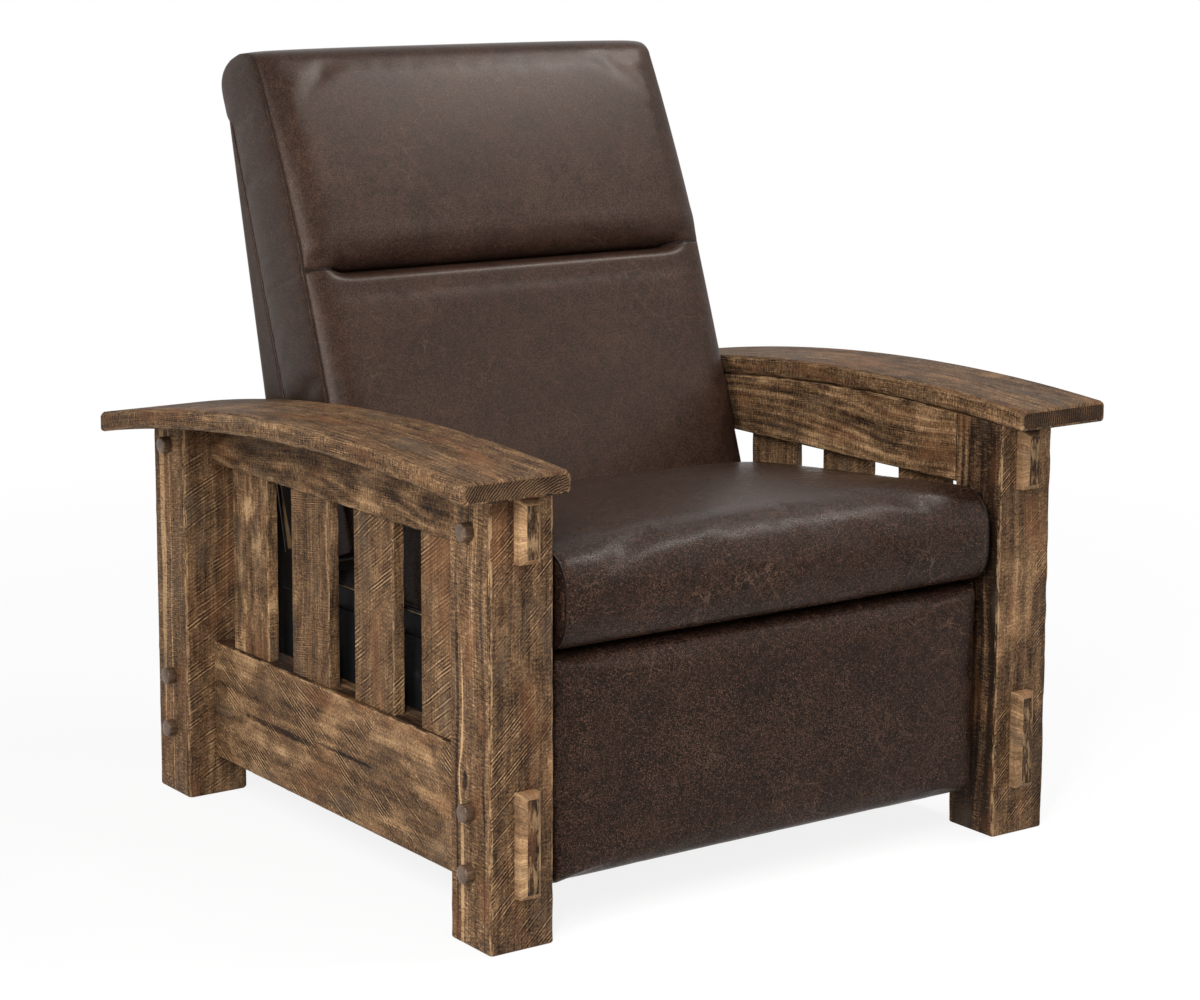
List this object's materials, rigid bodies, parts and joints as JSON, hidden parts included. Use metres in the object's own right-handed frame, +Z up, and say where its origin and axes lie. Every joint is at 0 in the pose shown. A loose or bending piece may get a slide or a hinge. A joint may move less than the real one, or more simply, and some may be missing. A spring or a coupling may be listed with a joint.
{
  "type": "recliner",
  "caption": "Slat-sided wooden push-back recliner: bowed flat arms on square posts, leather seat, channelled back cushion and folding footrest.",
  "frame": {"origin": "on the floor, under the middle of the arms' plan", "axes": "+Z up, the chair faces -Y, +X is the right side as seen from the front camera side looking along +Y"},
  "size_m": [1.021, 0.948, 1.0444],
  "materials": {
    "stained_oak": "satin",
    "tenon_wood": "satin",
    "peg_wood": "satin",
    "brown_leather": "satin",
    "deck_cloth": "matte",
    "spring_wire": "satin",
    "zinc_screw": "satin",
    "frame_wood": "matte",
    "black_steel": "satin"
  },
  "bodies": {
    "side_frames": {"left_front_post": "stained_oak", "right_front_post": "stained_oak", "left_rear_post": "stained_oak", "right_rear_post": "stained_oak", "left_arm": "stained_oak", "right_arm": "stained_oak", "left_bottom_rail": "stained_oak", "right_bottom_rail": "stained_oak", "left_top_rail": "stained_oak", "right_top_rail": "stained_oak", "left_slats": "stained_oak", "right_slats": "stained_oak", "tenon_ends": "tenon_wood", "pegs": "peg_wood", "rear_rail": "stained_oak", "centre_stretcher": "frame_wood", "frame_screws": "zinc_screw", "left_base_bracket": "black_steel", "right_base_bracket": "black_steel", "base_rivets": "black_steel"},
    "front_swing_links": {"left_front_swing_link": "black_steel", "right_front_swing_link": "black_steel"},
    "rear_swing_links": {"left_rear_swing_link": "black_steel", "right_rear_swing_link": "black_steel"},
    "seat": {"left_seat_plate": "black_steel", "right_seat_plate": "black_steel", "seat_rivets": "black_steel", "seat_screws": "zinc_screw", "tie_tube": "black_steel", "seat_front_rail": "frame_wood", "seat_rear_rail": "frame_wood", "seat_side_rails": "frame_wood", "seat_springs": "spring_wire", "seat_deck": "deck_cloth", "seat_cushion": "brown_leather"},
    "main_links": {"left_main_link": "black_steel", "right_main_link": "black_steel", "main_rivets": "black_steel"},
    "scissor_links": {"left_scissor_link": "black_steel", "right_scissor_link": "black_steel"},
    "cross_links": {"left_cross_link": "black_steel", "right_cross_link": "black_steel", "cross_rivets": "black_steel"},
    "footrest_links": {"left_footrest_link": "black_steel", "right_footrest_link": "black_steel"},
    "footrest": {"left_footrest_bracket": "black_steel", "right_footrest_bracket": "black_steel", "footrest_rivets": "black_steel", "footrest_board": "frame_wood", "footrest_pad": "brown_leather"},
    "back": {"left_back_bracket": "black_steel", "right_back_bracket": "black_steel", "stop_pins": "black_steel", "back_stiles": "frame_wood", "back_top_rail": "frame_wood", "back_bottom_rail": "frame_wood", "back_springs": "spring_wire", "outer_back": "brown_leather", "back_cushion": "brown_leather"}
  },
  "joints": [
    {"name": "seat_glide", "type": "hinge", "parent": "side_frames", "child": "front_swing_links", "pos_m": [0, -0.177, 0.305], "axis": [-1, 0, 0], "range_deg": [0, 30]},
    {"name": "seat_level", "type": "hinge", "parent": "front_swing_links", "child": "seat", "pos_m": [0, -0.177, 0.185], "axis": [-1, 0, 0], "range_deg": [-30, 0]},
    {"name": "rear_swing", "type": "hinge", "parent": "side_frames", "child": "rear_swing_links", "pos_m": [0, 0.123, 0.305], "axis": [-1, 0, 0], "range_deg": [0, 30]},
    {"name": "footrest_main", "type": "hinge", "parent": "seat", "child": "main_links", "pos_m": [0, -0.31, 0.27], "axis": [-1, 0, 0], "range_deg": [0, 136.6]},
    {"name": "footrest_scissor", "type": "hinge", "parent": "main_links", "child": "scissor_links", "pos_m": [0, -0.1647, 0.1436], "axis": [-1, 0, 0], "range_deg": [-134.3, 0]},
    {"name": "footrest_tilt", "type": "hinge", "parent": "scissor_links", "child": "footrest", "pos_m": [0, -0.343, 0.2031], "axis": [-1, 0, 0], "range_deg": [0, 87.7]},
    {"name": "footrest_cross", "type": "hinge", "parent": "seat", "child": "cross_links", "pos_m": [0, -0.2554, 0.2641], "axis": [-1, 0, 0], "range_deg": [0, 141.3]},
    {"name": "footrest_top", "type": "hinge", "parent": "cross_links", "child": "footrest_links", "pos_m": [0, -0.1347, 0.1817], "axis": [-1, 0, 0], "range_deg": [-144.1, 0]},
    {"name": "back_recline", "type": "hinge", "parent": "seat", "child": "back", "pos_m": [0, 0.213, 0.345], "axis": [-1, 0, 0], "range_deg": [0, 32]}
  ],
  "couplings": [
    {"joint": "seat_level", "follows": "seat_glide", "ratio": -1},
    {"joint": "rear_swing", "follows": "seat_glide", "ratio": 1},
    {"joint": "footrest_main", "follows": "seat_glide", "ratio": 4.5533},
    {"joint": "footrest_scissor", "follows": "seat_glide", "ratio": -4.4767},
    {"joint": "footrest_tilt", "follows": "seat_glide", "ratio": 2.9233},
    {"joint": "footrest_cross", "follows": "seat_glide", "ratio": 4.71},
    {"joint": "footrest_top", "follows": "seat_glide", "ratio": -4.8033}
  ]
}
